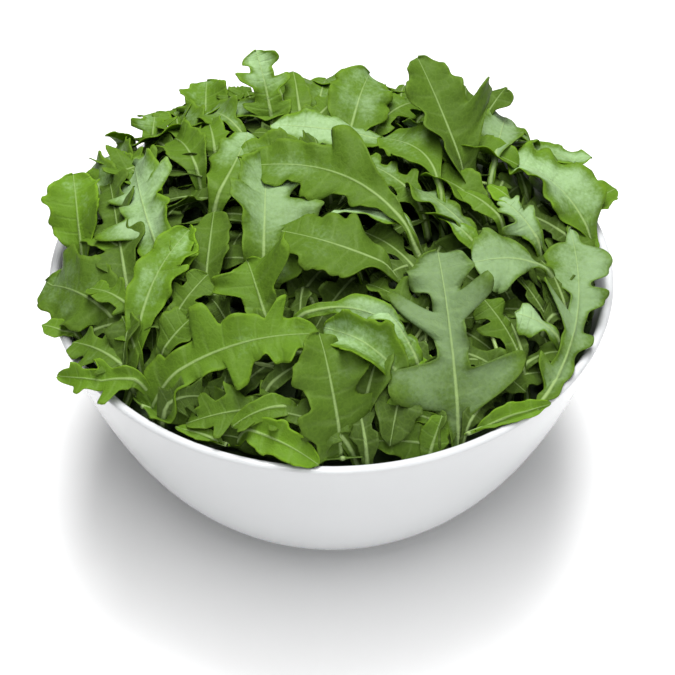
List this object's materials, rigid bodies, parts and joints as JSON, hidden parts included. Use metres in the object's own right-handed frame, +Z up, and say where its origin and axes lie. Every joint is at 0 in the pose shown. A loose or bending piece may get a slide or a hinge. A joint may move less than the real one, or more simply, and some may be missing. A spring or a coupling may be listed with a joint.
{
  "type": "bowl of rocket leaves",
  "caption": "Round white glazed bowl heaped above its rim with loose lobed rocket leaves, standing on a flat base.",
  "frame": {"origin": "centre of the bowl's flat base, on the surface that it stands on", "axes": "+Z up; -Y towards the front, where the picture was taken from; +X to the right of that view"},
  "size_m": [0.24, 0.24, 0.1794],
  "materials": {
    "white_glaze": "smooth white ceramic glaze",
    "rocket_leaf": "fresh leaf, satin, with pale midribs"
  },
  "bodies": {
    "root": {"bowl": "white_glaze", "rocket_leaves": "rocket_leaf"}
  },
  "joints": []
}
